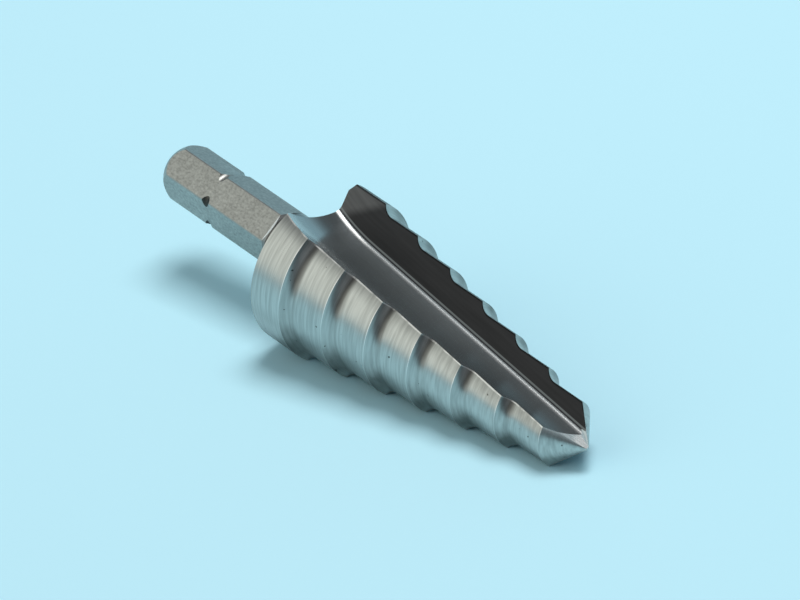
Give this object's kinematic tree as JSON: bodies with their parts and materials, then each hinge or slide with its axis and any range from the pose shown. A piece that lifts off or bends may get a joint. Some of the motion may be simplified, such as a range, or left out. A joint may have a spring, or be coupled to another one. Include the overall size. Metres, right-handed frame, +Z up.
{
  "type": "step drill",
  "caption": "Stepped drill bit with straight flutes, for enlarging a hole in sheet metal size by size, on a hexagonal quick-change shank.",
  "frame": {"origin": "on the floor, under the middle of the drill's overall length, as it lies at rest", "axes": "+X towards the tip and level, +Z up; the drill's own axis dips a little towards the tip because the drill rests on its steps"},
  "size_m": [0.0705, 0.0196, 0.0172],
  "materials": {
    "ground_steel": "bright ground high-speed steel with fine turning lines; flutes darker, shank satin"
  },
  "bodies": {
    "root": {"step_drill": "ground_steel"}
  },
  "joints": []
}
